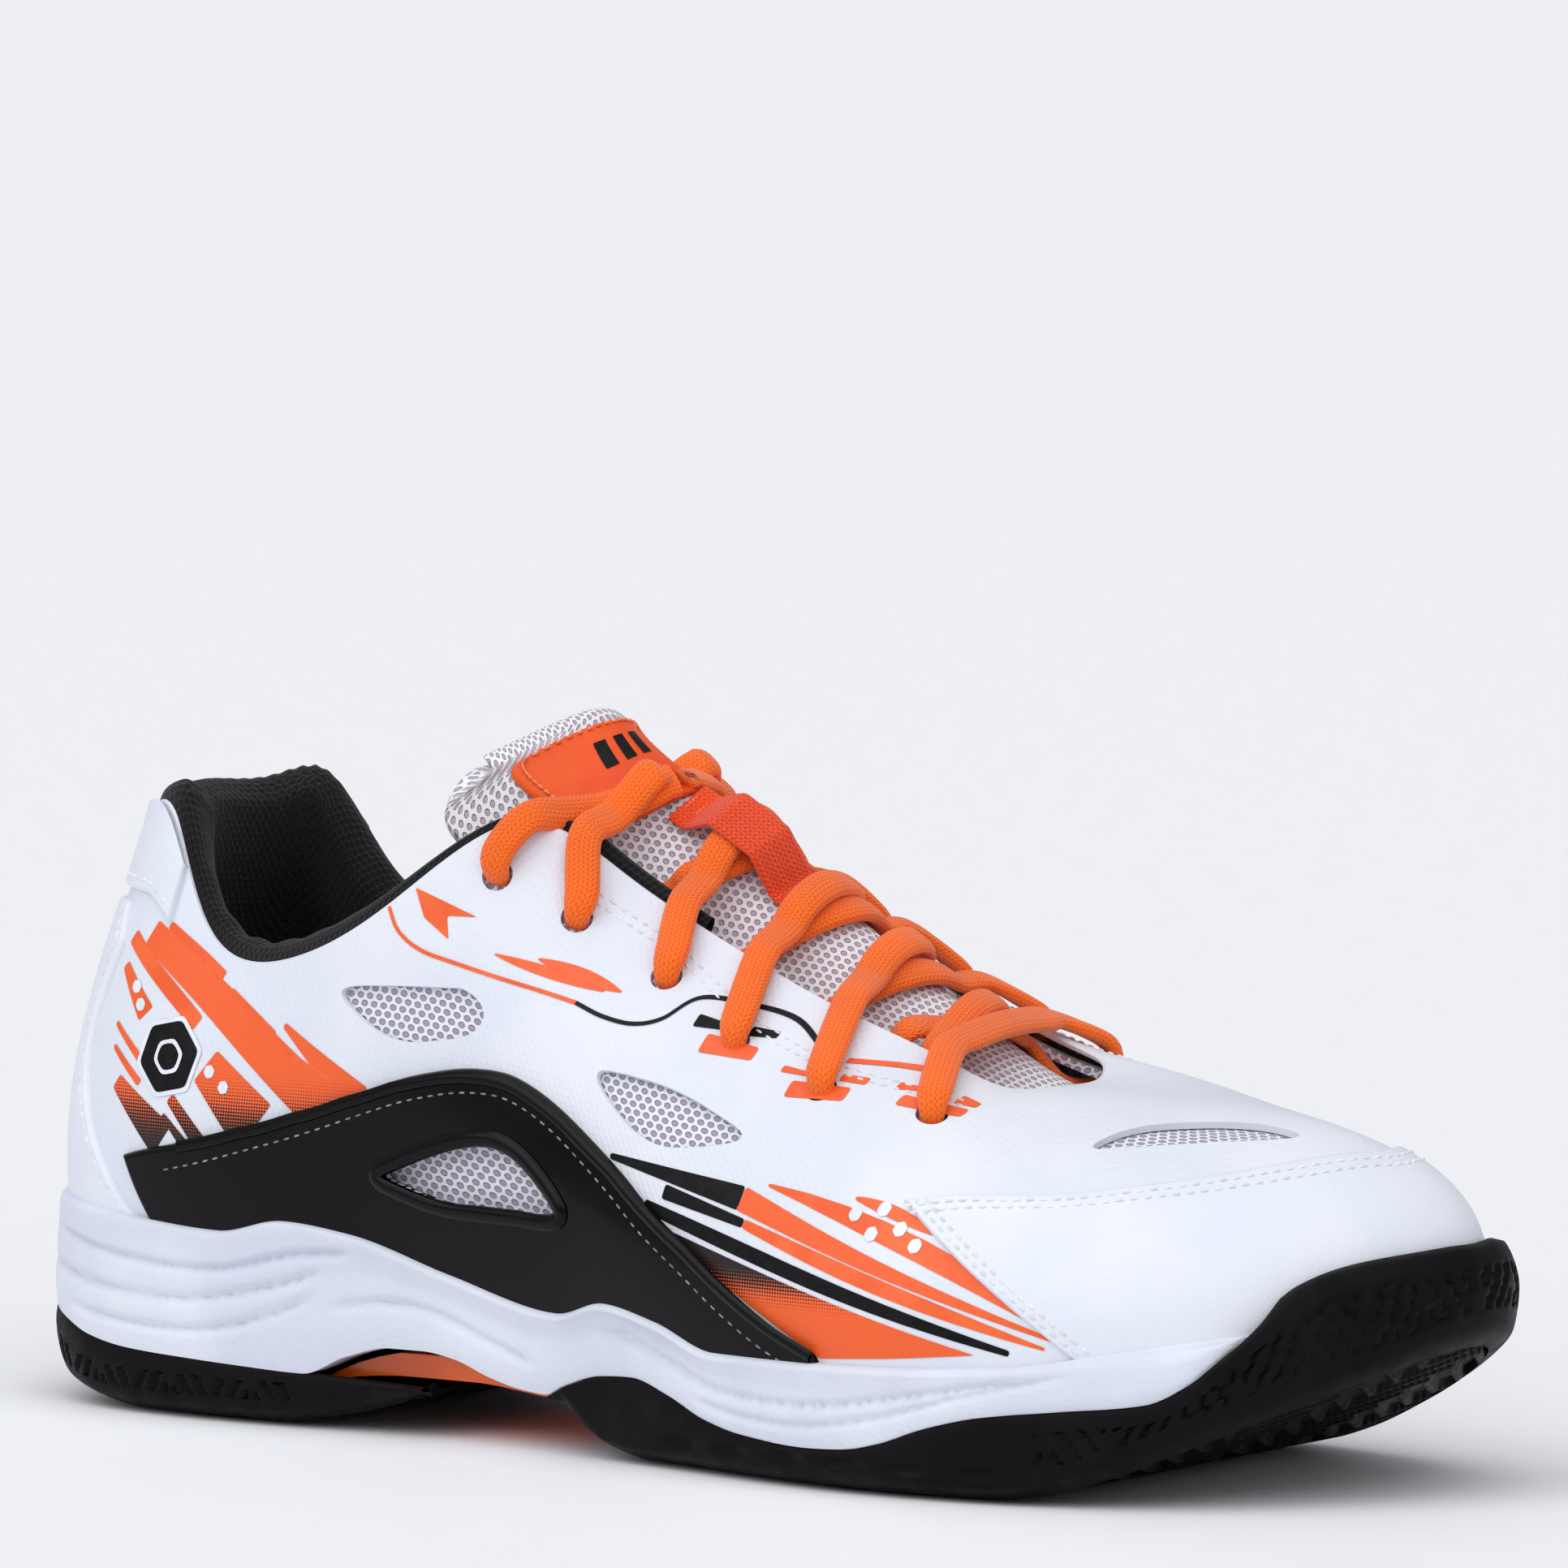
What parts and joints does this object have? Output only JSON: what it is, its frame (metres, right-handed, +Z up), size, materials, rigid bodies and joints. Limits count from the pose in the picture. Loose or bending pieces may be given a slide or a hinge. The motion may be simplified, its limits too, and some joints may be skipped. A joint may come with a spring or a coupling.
{
  "type": "court shoe",
  "caption": "Low-cut lace-up indoor court shoe for the right foot, with a layered upper, foam midsole, shank plate and two-part rubber outsole; laced and tied off inside",
  "frame": {"origin": "middle of the bounding box at ground level", "axes": "+X from heel to toe, +Y to the medial side of the right shoe, +Z up"},
  "size_m": [0.2868, 0.104, 0.122],
  "materials": {
    "midsole_foam": "moulded EVA foam, fine pebble texture, matte",
    "outsole_rubber": "moulded non-marking rubber, matte",
    "shank_plastic": "moulded TPU plate, satin",
    "board": "fibre board and non-woven stiffener",
    "sock_textile": "knitted cover on foam",
    "embossed_synthetic": "white polyurethane synthetic, finely embossed",
    "white_mesh": "three-dimensional knitted mesh",
    "lining_textile": "thin knitted lining",
    "black_film": "glossy moulded film",
    "white_leather": "smooth white synthetic leather",
    "black_mesh": "brushed knitted mesh",
    "soft_foam": "open-cell padding foam",
    "tongue_mesh": "padded hexagonal mesh",
    "orange_film": "soft orange synthetic, stitched border",
    "orange_webbing": "woven tape",
    "orange_lace": "tubular knitted lace"
  },
  "bodies": {
    "shoe": {"midsole": "midsole_foam", "outsole_heel": "outsole_rubber", "outsole_forefoot": "outsole_rubber", "shank_plate": "shank_plastic", "strobel_board": "board", "sockliner": "sock_textile", "upper_shell": "embossed_synthetic", "mesh_layer": "white_mesh", "vamp_lining": "lining_textile", "heel_stiffener": "board", "eyestay_backing_lateral": "board", "eyestay_backing_medial": "board", "saddle_lateral": "black_film", "saddle_medial": "black_film", "heel_counter": "white_leather", "heel_tab": "white_leather", "collar_lining": "black_mesh", "collar_foam": "soft_foam", "collar_tail_lateral": "black_mesh", "collar_tail_medial": "black_mesh", "tongue": "tongue_mesh", "lace_keeper": "orange_webbing", "lace": "orange_lace"},
    "forefoot": {"toe_cap": "white_leather", "toe_puff": "board"},
    "tongue_top": {"tongue_label": "orange_film"}
  },
  "joints": [
    {"name": "toe_flex", "type": "hinge", "parent": "shoe", "child": "forefoot", "pos_m": [0.05486, 0, 0.01], "axis": [0, -1, 0], "range_deg": [0, 30], "stiffness_Nm_per_rad": 6, "deforming": ["upper_shell", "mesh_layer", "vamp_lining", "midsole", "outsole_forefoot", "strobel_board", "sockliner"]},
    {"name": "tongue_fold", "type": "hinge", "parent": "shoe", "child": "tongue_top", "pos_m": [-0.02114, 0, 0.1075], "axis": [0, 1, 0], "range_deg": [-8, 35], "stiffness_Nm_per_rad": 0.02, "deforming": ["tongue", "lace"]}
  ]
}
